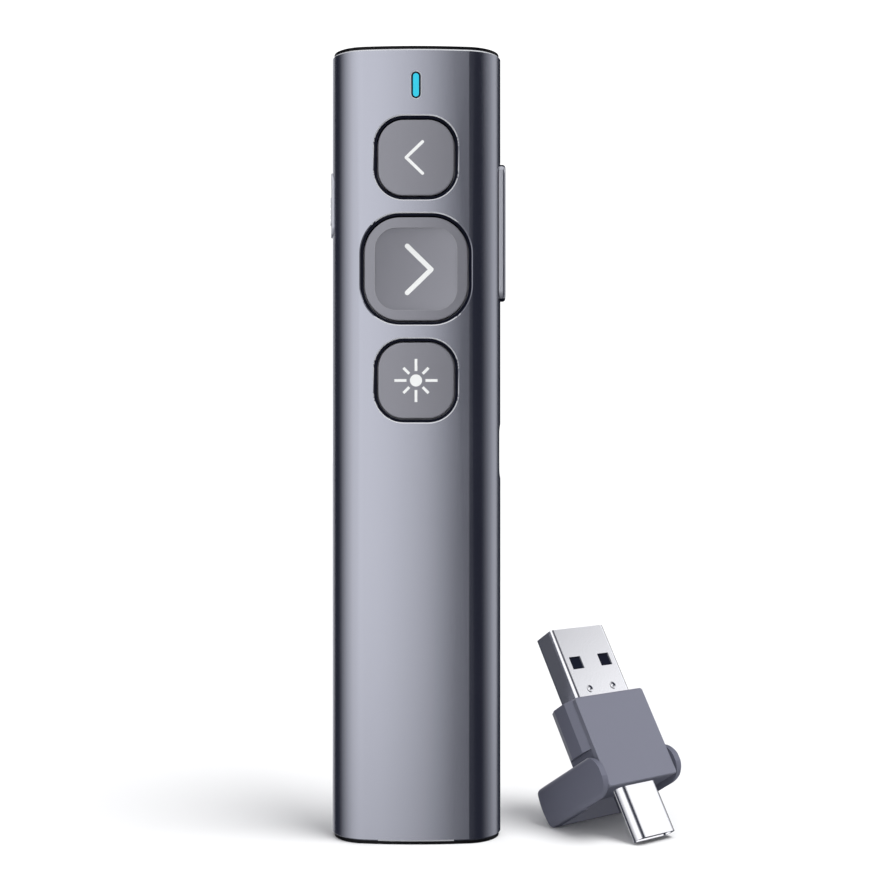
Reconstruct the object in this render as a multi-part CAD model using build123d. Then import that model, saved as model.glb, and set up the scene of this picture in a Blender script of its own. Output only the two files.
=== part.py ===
from build123d import *
import os
from math import asin, atan2, cos, degrees, hypot, radians, sin, sqrt

# A wireless presentation clicker and its USB receiver, in millimetres.
# The clicker stands on its tail: +Z runs to the laser end, -Y is the button face, +X its right side.
# The origin is the middle of the tail end, where the receiver bay opens.

# ---- clicker body ----
body_length = 126.0
body_width = 27.2
body_depth = 13.0
side_radius = 6.0
tube_wall = 1.2
end_chamfer = 0.25
hole_chamfer = 0.18
slot_chamfer = 0.15

# ---- named clearances ----
slip = 0.1              # pieces that slide into the tube
snug = 0.05             # pieces that are pushed into a hole
running = 0.05          # radial play of a pin in its hole
key_gap = 0.25          # between a moving key and its slot
hair = 0.001            # keeps a full round from closing up
button_gap = 0.25       # between a button and its collar

# ---- end caps ----
cap_lip = 0.5           # how far a cap stands out of the tube
cap_inset = 0.3         # its outline inside the tube's outline
cap_plug = 2.6          # how deep its plug goes into the tube
window_radius = 1.9
window_thickness = 0.8
beam_radius = 1.5

# ---- buttons, seen from the front: centres are below the laser end ----
prev_below_top = 17.65
next_below_top = 35.2
laser_below_top = 52.8
small_hole = 13.25
small_corner = 4.7
large_hole = 17.6
large_corner = 6.3
collar_wall = 0.35
collar_sink = 0.35      # collars end this far under the tube's surface
button_sink = 0.1       # buttons sit this far under the tube's surface
button_wall = 1.1
button_edge = 0.2
button_flange = 0.55
flange_thickness = 0.5
flange_play = 0.15
button_travel = 0.35
boss_radius = 1.7
dish_size = 13.0
dish_corner = 3.4
dish_depth = 0.95
dish_bend_across = 60.0
dish_bend_along = 50.0
dish_reach = 6.0        # half height of the ellipsoid that cuts the dish

# ---- legends ----
legend_depth = 0.3
prev_mark = (3.07, 5.46, 0.48)      # width, height, stroke
next_mark = (4.54, 8.13, 0.76)
prev_mark_shift = -0.26
next_mark_shift = 0.5
burst_dot = 0.95
burst_inner = 1.5
burst_long = 3.4
burst_short = 2.8
burst_stroke = 0.42
burst_rays = 8

# ---- status light ----
led_below_top = 6.2
led_hole = (1.48, 4.2)
led_pipe = (0.94, 3.7)
led_sink = 0.12
led_chip_size = (1.2, 2.4, 0.6)
led_air = 0.1

# ---- board and its parts ----
board_front = -2.2      # y of the board's button side
board_thickness = 1.0
board_width = 16.8
board_end_gap = 4.0     # from the board's top edge to the laser end
frame_margin = 9.2      # keypad frame's lower edge below the laser button's centre
frame_back = -4.1       # y of the keypad frame's flat back
switch_size = 4.5
switch_height = 0.8
stem_radius = 1.2
stem_root = 0.4         # stem's back above the board at rest
stem_top = 1.3          # stem's front above the board at rest
chip_height = 0.8
radio_chip_size = 5.0
charge_chip_size = 3.5
charge_chip_rise = 5.5  # above the board's lower edge
screw_radius = 0.5
screw_head_radius = 0.95
screw_head_height = 0.4
screw_length = 3.0
screw_x = 7.7
screw_rise = 3.0        # lowest pair, above the board's lower edge
screw_above_port = 8.5
screw_above_prev = 3.65

# ---- chassis ----
chassis_gap = 0.8       # between the receiver bay and the chassis
chassis_foot = 2.0      # chassis end below the board and the pocket
chassis_end_gap = 4.5
pocket_width = 14.0
pocket_back = 3.7       # y of the pocket's floor
pocket_end_gap = 9.0
battery_width = 11.4
battery_thickness = 3.6
battery_rise = 2.0      # above the pocket's lower end
battery_below_barrel = 10.0
battery_corner = 1.0
pad_thickness = 0.3

# ---- laser module ----
laser_y = 1.1
barrel_radius = 2.0
barrel_bore = 1.4
barrel_length = 12.0
barrel_end_gap = 4.0
lens_thickness = 1.5
lens_back = 1.0
diode_length = 3.0

# ---- volume rocker, on the right side ----
volume_below_top = 28.7
volume_length = 22.2
volume_width = 3.4
volume_proud = 0.8
volume_round = 0.5
volume_flange_face = 11.0
volume_flange_thickness = 0.7
volume_flange_margin = 0.9
volume_pin_x = 9.4
volume_pin_radius = 0.5
volume_pin_length = 4.6
lug_half = 1.5
lug_width = 2.2
bracket_half = 4.0
bracket_reach = 2.5
bracket_face = 10.1
volume_pad_z = 7.0
volume_pad_size = 1.2
volume_pad_tip = 8.8
side_switch_size = (2.2, 2.0, 3.0)
side_switch_gap = 0.4   # between a side switch and the key's pad

# ---- power slide switch, on the left side ----
power_below_top = 24.25
bezel_length = 10.5
bezel_width = 3.6
bezel_proud = 0.24
bezel_back = 12.0
knob_length = 4.5
knob_width = 1.7
knob_proud = 0.1        # above the bezel
knob_travel = 2.0
knob_play = 0.1
knob_flange = 0.8
knob_flange_thickness = 0.6
knob_stem = (1.6, 1.0, 1.6)         # reach, width and length
rib_count = 4
rib_pitch = 0.9
rib_width = 0.35
rib_depth = 0.1
power_switch_inner = 7.7
power_switch_length = 9.2

# ---- charging port, on the right side ----
port_rise = 18.0        # above the board's lower edge
port_length = 8.94
port_thickness = 3.16
port_wall = 0.3
port_depth = 7.2
port_sink = 0.5
port_back_wall = 1.0
port_tongue_size = (4.6, 0.7, 6.7)  # reach, thickness and width

# ---- receiver bay, in the tail ----
bay_wall = 1.0
bay_depth = 39.0
bay_floor = 1.0
magnet_radius = 3.0
magnet_thickness = 1.2

# ---- receiver, in its own frame: x across, -y its face, z up from the housing's lower end ----
receiver_x = 34.9
receiver_y = -0.25
receiver_heading = 36.9
housing_length = 15.15
cover_width = 15.2
cover_front = -3.45
cover_thickness = 1.0
cover_corner = 0.5
housing_back = 3.75
housing_bulge = 8.3     # half width over the side panels
housing_front_bevel = 1.4           # depth of the bevels before and behind a side panel
housing_rear_bevel = 2.0
housing_rear_half = 7.2
housing_round = 0.8
waist_gap = 0.45        # between the waist's sides and the guard's ears
waist_clearance = 0.4   # above the ears, however the guard is turned
housing_wall = 1.0
usb_a_width = 12.1
usb_a_thickness = 4.5
usb_a_out = 12.45
usb_a_in = 3.0
usb_a_wall = 0.3
usb_a_round = 0.7
usb_a_dent = (1.26, 0.18)           # sphere radius and depth of the two dents near its root
usb_a_dent_pitch = 5.2
usb_a_dent_rise = 1.5
usb_a_window = (2.5, 2.2)
usb_a_window_pitch = 6.4
usb_a_window_below_tip = 6.2
usb_a_tongue = 1.9      # thickness, along the front wall
usb_a_contact_count = 4
usb_a_contact_pitch = 2.2
usb_a_contact = (1.2, 0.15, 7.5)
usb_c_width = 8.34
usb_c_thickness = 2.56
usb_c_y = -0.55
usb_c_out = 8.45
usb_c_in = 2.0
usb_c_wall = 0.25
usb_c_slot = (6.7, 0.8, 5.5)
receiver_board_width = 11.2
receiver_board_thickness = 0.8
receiver_chip = (4.0, 0.8, 4.0)

# ---- flip guard: it swings about a pin line across the receiver ----
guard_z = 2.4
guard_half = 3.35
guard_front = 3.9
guard_reach = 13.04
guard_web = 1.1
ear_gap = 0.15          # between the cover and the guard's ears
ear_wall = 0.7
ear_bulge = 0.45
guard_round = 0.8
guard_corner = 1.1      # along the arms' long edges
guard_roof = 1.3
guard_pocket_half = 6.6
guard_pocket_round = 3.0
guard_roof_gap = 0.8    # between the housing's back and the guard's roof
guard_pin_radius = 0.8
guard_pin_seat = 0.9    # how deep a pin sits in the housing
guard_pin_reach = 0.5   # how deep it sits in the guard
guard_pin_end_gap = 0.1

# ---- values that follow ----
half_width = body_width / 2
half_depth = body_depth / 2
crown_radius = ((half_width - side_radius) ** 2 + half_depth ** 2 - side_radius ** 2) / (
    2 * (half_depth - side_radius)
)
tube_low = cap_lip
tube_high = body_length - cap_lip
board_back = board_front + board_thickness
board_high = body_length - board_end_gap
chassis_high = body_length - chassis_end_gap
chassis_low = bay_depth + bay_floor + magnet_thickness + chassis_gap
board_low = chassis_low + chassis_foot
pocket_low = chassis_low + chassis_foot
battery_low = pocket_low + battery_rise
battery_high = body_length - barrel_end_gap - barrel_length - battery_below_barrel
prev_z = body_length - prev_below_top
next_z = body_length - next_below_top
laser_z = body_length - laser_below_top
led_z = body_length - led_below_top
volume_z = body_length - volume_below_top
power_z = body_length - power_below_top
port_z = board_low + port_rise
frame_low = laser_z - frame_margin
charge_chip_z = board_low + charge_chip_rise
radio_chip_z = (charge_chip_z + charge_chip_size / 2 + laser_z - switch_size / 2) / 2
screw_z = (board_low + screw_rise, port_z + screw_above_port, prev_z + screw_above_prev)
rocker_room = volume_pad_tip - side_switch_gap      # the board and the chassis leave the key the rest
flange_front = frame_back + flange_play
flange_back = flange_front + flange_thickness
stem_face = board_front - stem_top
small_cap = small_hole - 2 * (snug + collar_wall + button_gap)
large_cap = large_hole - 2 * (snug + collar_wall + button_gap)
ring_step = snug + collar_wall + button_gap
liner_inset = tube_wall + slip
cavity_inset = liner_inset + bay_wall
beyond = 2 * half_width     # longer than any wall that a cut goes through
guard_inner = cover_width / 2 + ear_gap
guard_side = guard_inner + ear_wall
guard_bulge = guard_side + ear_bulge
guard_roof_start = housing_back + guard_roof_gap
waist_half = guard_inner - waist_gap
waist_height = guard_z + guard_front + waist_clearance
guard_pin_inner = waist_half - guard_pin_seat
guard_pin_outer = guard_inner + guard_pin_reach


# ---- shapes used more than once ----
def oval(inset):
    """The tube's outline, moved inwards: two crowned faces joined by round sides."""
    a = half_width - inset
    b = half_depth - inset
    r = side_radius - inset
    crown = crown_radius - inset
    scale_out = r / (crown - r)
    tx = (a - r) * (1 + scale_out)
    ty = (crown - b) * scale_out
    edges = [
        ThreePointArc((tx, -ty), (a, 0), (tx, ty)),
        ThreePointArc((tx, ty), (0, b), (-tx, ty)),
        ThreePointArc((-tx, ty), (-a, 0), (-tx, -ty)),
        ThreePointArc((-tx, -ty), (0, -b), (tx, -ty)),
    ]
    return make_face(Curve() + edges)


def oval_bar(inset, low, high):
    """A bar of the tube's outline between two heights."""
    return extrude(Pos(0, 0, low) * oval(inset), amount=high - low)


def block(x_low, x_high, y_low, y_high, z_low, z_high):
    """A box between six planes."""
    middle = Pos((x_low + x_high) / 2, (y_low + y_high) / 2, (z_low + z_high) / 2)
    return middle * Box(x_high - x_low, y_high - y_low, z_high - z_low)


def on_front(outline, height, y_back, y_front, x=0.0):
    """A prism of an outline that faces the front, between two depths."""
    plane = Plane(origin=(x, y_back, height), x_dir=(1, 0, 0), z_dir=(0, -1, 0))
    return extrude(plane * outline, amount=y_back - y_front)


def on_side(outline, side, height, inner, outer):
    """A prism of an outline that faces the right (side 1) or the left (side -1)."""
    plane = Plane(origin=(side * inner, 0, height), x_dir=(0, side, 0), z_dir=(side, 0, 0))
    return extrude(plane * outline, amount=outer - inner)


def along_y(radius, x, z, y_low, y_high):
    """A round bar that runs front to back."""
    return Pos(x, (y_low + y_high) / 2, z) * Rot(90, 0, 0) * Cylinder(radius, y_high - y_low)


def along_z(radius, x, y, z_low, z_high):
    """A round bar that runs tail to laser end."""
    return Pos(x, y, (z_low + z_high) / 2) * Cylinder(radius, z_high - z_low)


def pill(thickness, length, lying=False):
    """A slot outline with full round ends, upright or lying."""
    size = (length, thickness) if lying else (thickness, length)
    return RectangleRounded(*size, thickness / 2 - hair)


def crown_y(x):
    """Depth of the tube's front surface at a place across it."""
    return -(half_depth - crown_radius + sqrt(crown_radius ** 2 - x ** 2))


def mouth_edges(solid, height, reach_x, reach_z):
    """The edges where an opening in the front face meets the tube's outer surface."""
    found = []
    for edge in solid.edges():
        p = edge.position_at(0.5)
        if abs(p.X) > reach_x + snug or abs(p.Z - height) > reach_z + snug:
            continue
        if p.Y < crown_y(p.X) + tube_wall / 2:
            found.append(edge)
    return found


# ---- tube ----
def tube_shell():
    """Aluminium sleeve with its openings and bright-cut edges."""
    shell = oval_bar(0, tube_low, tube_high)
    shell = chamfer(shell.edges().filter_by_position(Axis.Z, tube_low, tube_low), end_chamfer)
    shell = chamfer(shell.edges().filter_by_position(Axis.Z, tube_high, tube_high), end_chamfer)
    shell -= oval_bar(tube_wall, 0, body_length)
    small = RectangleRounded(small_hole, small_hole, small_corner)
    large = RectangleRounded(large_hole, large_hole, large_corner)
    fronts = [
        (small, prev_z, small_hole, small_hole, hole_chamfer),
        (large, next_z, large_hole, large_hole, hole_chamfer),
        (small, laser_z, small_hole, small_hole, hole_chamfer),
        (pill(*led_hole), led_z, led_hole[0], led_hole[1], slot_chamfer),
    ]
    for outline, height, _, _, _ in fronts:
        shell -= on_front(outline, height, 0, -beyond)
    for _, height, width, tall, cut in fronts:
        shell = chamfer(mouth_edges(shell, height, width / 2, tall / 2), cut)
    shell -= on_side(pill(volume_width + 2 * key_gap, volume_length + 2 * key_gap), 1, volume_z, 0, beyond)
    shell -= on_side(pill(bezel_width, bezel_length), -1, power_z, 0, beyond)
    shell -= on_side(pill(port_thickness + 2 * snug, port_length + 2 * snug), 1, port_z, 0, beyond)
    return shell


def front_cap():
    """Cap at the laser end, with the beam's hole and the window's seat."""
    cap = oval_bar(cap_inset, tube_high, body_length)
    cap += oval_bar(tube_wall + snug, tube_high - cap_plug, tube_high)
    cap -= along_z(beam_radius, 0, laser_y, tube_high - 2 * cap_plug, body_length + cap_plug)
    cap -= along_z(window_radius, 0, laser_y, body_length - window_thickness, body_length + cap_plug)
    return cap


def laser_window():
    """Clear disc that closes the beam's hole."""
    return along_z(window_radius, 0, laser_y, body_length - window_thickness, body_length)


def tail_cap():
    """Ring that closes the tail round the mouth of the receiver bay."""
    cap = oval_bar(cap_inset, 0, cap_lip)
    cap += oval_bar(tube_wall + snug, cap_lip, cap_lip + cap_plug)
    cap -= oval_bar(cavity_inset, -cap_lip, body_length)
    return cap


def receiver_bay():
    """Liner that the receiver is pushed into, with a seat for its magnet."""
    low = cap_lip + cap_plug
    high = bay_depth + bay_floor + magnet_thickness
    liner = oval_bar(liner_inset, low, high)
    liner -= oval_bar(cavity_inset, 0, bay_depth)
    liner -= along_z(magnet_radius, 0, 0, bay_depth + bay_floor, high + bay_floor)
    return liner


def bay_magnet():
    """Disc magnet that holds the receiver in its bay."""
    return along_z(magnet_radius, 0, 0, bay_depth + bay_floor, bay_depth + bay_floor + magnet_thickness)


# ---- keypad ----
def keypad_frame():
    """Black frame inside the tube, with a collar in each button's hole."""
    high = tube_high - cap_plug - slip
    frame = oval_bar(liner_inset, frame_low, high)
    frame &= block(-beyond, beyond, -beyond, frame_back, frame_low, high)
    skin = oval_bar(collar_sink, frame_low, high)
    places = [
        (prev_z, small_hole, small_corner),
        (next_z, large_hole, large_corner),
        (laser_z, small_hole, small_corner),
    ]
    for height, hole, corner in places:
        outer = RectangleRounded(hole - 2 * snug, hole - 2 * snug, corner - snug)
        frame += on_front(outer, height, frame_back, -beyond) & skin
    for height, hole, corner in places:
        open_size = hole - 2 * (snug + collar_wall)
        frame -= on_front(
            RectangleRounded(open_size, open_size, corner - snug - collar_wall), height, 0, -beyond
        )
    frame -= on_front(pill(led_hole[0], led_hole[1]), led_z, 0, -beyond)
    return frame


def button(height, size, corner, mark_cut=None, dish=None):
    """One button: crowned face, hollow back, retaining flange and the boss that meets its switch."""
    skin = oval_bar(button_sink, 0, body_length)
    cap = on_front(RectangleRounded(size, size, corner), height, flange_back, -beyond) & skin
    rim = [
        edge for edge in cap.edges()
        if edge.position_at(0.5).Y < crown_y(edge.position_at(0.5).X) + button_sink + snug
    ]
    cap = fillet(rim, button_edge)
    if dish is not None:
        cap -= dish
    wide = size + 2 * button_flange
    cap += on_front(RectangleRounded(wide, wide, corner + button_flange), height, flange_back, flange_front)
    hollow = size - 2 * button_wall
    hollow_front = -(half_depth - button_sink - dish_depth - button_wall)
    cap -= on_front(
        RectangleRounded(hollow, hollow, corner - button_wall), height, flange_back, hollow_front
    )
    cap += along_y(boss_radius, 0, height, hollow_front, stem_face)
    if mark_cut is not None:
        cap -= mark_cut
    return cap


def chevron(mark, pointing):
    """Arrow-head outline of two round-ended arms: pointing is 1 for right and -1 for left."""
    width, tall, stroke = mark
    across = width - stroke
    rise = (tall - stroke) / 2
    slope = degrees(atan2(rise, across))
    lower = Pos(0, -rise / 2) * SlotCenterToCenter(hypot(across, rise), stroke, rotation=pointing * slope)
    upper = Pos(0, rise / 2) * SlotCenterToCenter(hypot(across, rise), stroke, rotation=-pointing * slope)
    return lower + upper


def starburst():
    """Laser sign: a dot with long and short rays by turns."""
    sign = Circle(burst_dot)
    for ray in range(burst_rays):
        tip = burst_long if ray % 2 == 0 else burst_short
        bar = Pos((burst_inner + tip) / 2, 0) * Rectangle(tip - burst_inner, burst_stroke)
        sign += Rot(0, 0, ray * 360 / burst_rays) * bar
    return sign


def inlay(outline, height, face_y, blank, x=0.0):
    """The part of a button's face under an outline, down to the legend's depth."""
    return on_front(outline, height, face_y + legend_depth, -beyond, x) & blank


def next_dish():
    """The shallow hollow of the next button, cut with an ellipsoid inside a soft square."""
    reach_x = sqrt(dish_reach * dish_bend_across)
    reach_z = sqrt(dish_reach * dish_bend_along)
    floor_y = -(half_depth - button_sink - dish_depth)
    bowl = Pos(0, floor_y - dish_reach, next_z) * scale(Sphere(1), by=(reach_x, dish_reach, reach_z))
    return bowl & on_front(RectangleRounded(dish_size, dish_size, dish_corner), next_z, 0, -beyond)


def keypad():
    """The three buttons with their inlaid legends."""
    small_corner_cap = small_corner - ring_step
    large_corner_cap = large_corner - ring_step
    face = -(half_depth - button_sink)
    prev_blank = button(prev_z, small_cap, small_corner_cap)
    prev_legend = inlay(chevron(prev_mark, -1), prev_z, face, prev_blank, prev_mark_shift)
    next_blank = button(next_z, large_cap, large_corner_cap, dish=next_dish())
    next_legend = inlay(chevron(next_mark, 1), next_z, face + dish_depth, next_blank, next_mark_shift)
    laser_blank = button(laser_z, small_cap, small_corner_cap)
    laser_legend = inlay(starburst(), laser_z, face, laser_blank)
    return {
        "prev_button": prev_blank - prev_legend,
        "prev_legend": prev_legend,
        "next_button": next_blank - next_legend,
        "next_legend": next_legend,
        "laser_button": laser_blank - laser_legend,
        "laser_legend": laser_legend,
    }


def button_switches():
    """Three low switches on the board, open in the middle for their stems."""
    group = []
    for height in (prev_z, next_z, laser_z):
        body = on_front(Rectangle(switch_size, switch_size), height, board_front, board_front - switch_height)
        body -= along_y(stem_radius + slip, 0, height, board_front - 2 * switch_height, board_front)
        group.append(body)
    return Compound(children=group)


def stem(height):
    """Stem of one switch, behind its button's boss."""
    return along_y(stem_radius, 0, height, stem_face, board_front - stem_root)


# ---- status light ----
def led_bezel():
    """Black rim in the slot of the status light."""
    outer = pill(led_hole[0] - 2 * snug / 5, led_hole[1] - 2 * snug / 5)
    rim = on_front(outer, led_z, frame_back, -beyond) & oval_bar(led_sink, 0, body_length)
    return rim - on_front(pill(*led_pipe), led_z, 0, -beyond)


def led_lens():
    """Light pipe from the board's light to the face."""
    back = board_front - led_chip_size[2] - led_air
    return on_front(pill(*led_pipe), led_z, back, -beyond) & oval_bar(led_sink, 0, body_length)


def led_chip():
    """The light on the board."""
    width, tall, thick = led_chip_size
    return on_front(Rectangle(width, tall), led_z, board_front, board_front - thick)


# ---- board ----
def main_board():
    """Circuit board, notched for the port, clear of the volume key and drilled for its screws."""
    half = board_width / 2
    board = block(-half, half, board_front, board_back, board_low, board_high)
    board -= block(
        half_width - port_sink - port_depth - slip, beyond, -beyond, beyond,
        port_z - port_length / 2 - slip, port_z + port_length / 2 + slip,
    )
    rocker_half = volume_length / 2 + volume_flange_margin
    board -= block(
        rocker_room + slip, beyond, -beyond, beyond, volume_z - rocker_half, volume_z + rocker_half
    )
    for x, z in screw_places():
        board -= along_y(screw_radius, x, z, board_front, board_back)
    return board


def screw_places():
    """Where the board's screws go."""
    return [(side * screw_x, z) for z in screw_z for side in (-1, 1)]


def board_screws():
    """Screws that hold the board to the chassis."""
    group = []
    for x, z in screw_places():
        screw = along_y(screw_radius, x, z, board_front, board_front + screw_length)
        screw += along_y(screw_head_radius, x, z, board_front - screw_head_height, board_front)
        group.append(screw)
    return Compound(children=group)


def board_chip(size, height):
    """A square chip on the board's button side."""
    return on_front(Rectangle(size, size), height, board_front, board_front - chip_height)


def side_switches():
    """Two switches behind the ends of the volume key."""
    reach, deep, tall = side_switch_size
    group = [
        block(rocker_room - reach, rocker_room, board_back, board_back + deep, z - tall / 2, z + tall / 2)
        for z in (volume_z - volume_pad_z, volume_z + volume_pad_z)
    ]
    return Compound(children=group)


# ---- chassis, battery and laser ----
def chassis():
    """Carrier in the tube: it holds the board, the battery, the laser, the port and the side keys."""
    body = oval_bar(liner_inset, chassis_low, chassis_high)
    body &= block(-beyond, beyond, board_back, beyond, chassis_low, chassis_high)
    pocket_half = pocket_width / 2
    body -= block(
        -pocket_half, pocket_half, -beyond, pocket_back, pocket_low, body_length - pocket_end_gap
    )
    body -= along_z(barrel_radius, 0, laser_y, pocket_low, body_length)
    port_inner = half_width - port_sink - port_depth
    body -= block(
        port_inner, beyond, -beyond, port_thickness / 2, port_z - port_length / 2, port_z + port_length / 2
    )
    power_half = bezel_length / 2 + key_gap
    body -= block(
        -beyond, -pocket_half, -beyond, bezel_width / 2 + slip, power_z - power_half, power_z + power_half
    )
    volume_half = volume_length / 2 + volume_flange_margin + key_gap
    flange_back_x = volume_flange_face - volume_flange_thickness
    body -= block(
        rocker_room + slip, beyond, -beyond, lug_width / 2 + key_gap,
        volume_z - volume_half, volume_z + volume_half,
    )
    body -= block(
        flange_back_x - 2 * key_gap, beyond, -beyond, volume_width / 2 + 2 * volume_flange_margin,
        volume_z - volume_half, volume_z + volume_half,
    )
    side_half = volume_pad_z + side_switch_size[2]
    body -= block(
        0, rocker_room + slip, -beyond, board_back + side_switch_size[1],
        volume_z - side_half, volume_z + side_half,
    )
    bracket = block(
        rocker_room + slip, bracket_face, -bracket_reach, bracket_reach,
        volume_z - bracket_half, volume_z + bracket_half,
    )
    bracket -= block(
        0, beyond, -lug_width / 2 - slip, lug_width / 2 + slip,
        volume_z - lug_half - key_gap, volume_z + lug_half + key_gap,
    )
    body += bracket
    body -= along_y(volume_pin_radius, volume_pin_x, volume_z, -volume_pin_length / 2, volume_pin_length / 2)
    for x, z in screw_places():
        body -= along_y(screw_radius, x, z, board_back, board_front + screw_length)
    return body


def battery():
    """Flat battery in the chassis pocket."""
    back = pocket_back - pad_thickness
    half = battery_width / 2
    cell = block(-half, half, back - battery_thickness, back, battery_low, battery_high)
    return fillet(cell.edges().filter_by(Axis.Z), battery_corner)


def battery_pad():
    """Foam strip that glues the battery down."""
    half = battery_width / 2 - battery_corner
    return block(
        -half, half, pocket_back - pad_thickness, pocket_back,
        battery_low + battery_corner, battery_high - battery_corner,
    )


def laser_module():
    """Brass barrel with its diode at the back and its lens at the front."""
    high = body_length - barrel_end_gap
    low = high - barrel_length
    barrel = along_z(barrel_radius, 0, laser_y, low, high) - along_z(barrel_bore, 0, laser_y, low, high)
    return {
        "laser_barrel": barrel,
        "laser_diode": along_z(barrel_bore, 0, laser_y, low, low + diode_length),
        "laser_lens": along_z(
            barrel_bore, 0, laser_y, high - lens_back - lens_thickness, high - lens_back
        ),
    }


# ---- side controls ----
def volume_key():
    """Rocking key: the outer bar, its inner flange, two pads and the lug on its pin."""
    outer = half_width + volume_proud
    key = on_side(pill(volume_width, volume_length), 1, volume_z, volume_flange_face, outer)
    key = fillet(key.edges().filter_by_position(Axis.X, outer - snug, outer + snug), volume_round)
    margin = volume_flange_margin
    flange = RectangleRounded(volume_width + 2 * margin, volume_length + 2 * margin, margin)
    flange_back_x = volume_flange_face - volume_flange_thickness
    key += on_side(flange, 1, volume_z, flange_back_x, volume_flange_face)
    for z in (volume_z - volume_pad_z, volume_z + volume_pad_z):
        pad = on_side(Rectangle(volume_pad_size, volume_pad_size), 1, z, volume_pad_tip, flange_back_x)
        key += pad
    half = lug_width / 2
    lug = block(
        volume_pin_x - lug_half / 2, flange_back_x, -half, half, volume_z - lug_half, volume_z + lug_half
    )
    key += lug
    return key - along_y(volume_pin_radius + running, volume_pin_x, volume_z, -lug_width, lug_width)


def volume_pin():
    """Pin that the volume key rocks on."""
    half = volume_pin_length / 2
    return along_y(volume_pin_radius, volume_pin_x, volume_z, -half, half)


def power_bezel():
    """Low frame round the power knob, crowned like the tube's side."""
    bezel = on_side(pill(bezel_width, bezel_length), -1, power_z, bezel_back, beyond)
    bezel &= oval_bar(-bezel_proud, power_z - bezel_length, power_z + bezel_length)
    window = RectangleRounded(
        knob_width + 2 * knob_play, knob_length + knob_travel + 2 * knob_play, knob_width / 4
    )
    return bezel - on_side(window, -1, power_z, 0, beyond)


def power_knob():
    """Ribbed knob, at the lower end of its travel."""
    rest_z = power_z - knob_travel / 2
    tip = half_width + bezel_proud + knob_proud
    outline = RectangleRounded(knob_width, knob_length, knob_width / 4)
    knob = on_side(outline, -1, rest_z, bezel_back - slip, beyond)
    knob &= oval_bar(-bezel_proud - knob_proud, power_z - bezel_length, power_z + bezel_length)
    for step in range(rib_count):
        groove_z = rest_z + (step - (rib_count - 1) / 2) * rib_pitch
        knob -= on_side(Rectangle(beyond, rib_width), -1, groove_z, tip - rib_depth, beyond)
    flange = Rectangle(knob_width + knob_flange, knob_length + knob_flange)
    flange_inner = bezel_back - slip - knob_flange_thickness
    knob += on_side(flange, -1, rest_z, flange_inner, bezel_back - slip)
    reach, wide, long = knob_stem
    knob += on_side(Rectangle(wide, long), -1, rest_z, flange_inner - reach, flange_inner)
    return knob


def power_switch():
    """Slide switch on the board's edge, with the slot that the knob's stem runs in."""
    flange_inner = bezel_back - slip - knob_flange_thickness
    reach, wide, long = knob_stem
    body = block(
        -(flange_inner - slip), -power_switch_inner, board_back, bezel_width / 2,
        power_z - power_switch_length / 2, power_z + power_switch_length / 2,
    )
    slot = Rectangle(wide + 2 * knob_play, long + knob_travel + 4 * knob_play)
    return body - on_side(slot, -1, power_z, flange_inner - reach - slip, beyond)


def port():
    """Charging socket: metal shell and the tongue inside it."""
    mouth = half_width - port_sink
    shell = on_side(pill(port_thickness, port_length), 1, port_z, mouth - port_depth, mouth)
    inner = pill(port_thickness - 2 * port_wall, port_length - 2 * port_wall)
    shell -= on_side(inner, 1, port_z, mouth - port_depth + port_back_wall, beyond)
    reach, thick, wide = port_tongue_size
    start = mouth - port_depth + port_back_wall
    return {
        "port_shell": shell,
        "port_tongue": on_side(Rectangle(thick, wide), 1, port_z, start, start + reach),
    }


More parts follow.
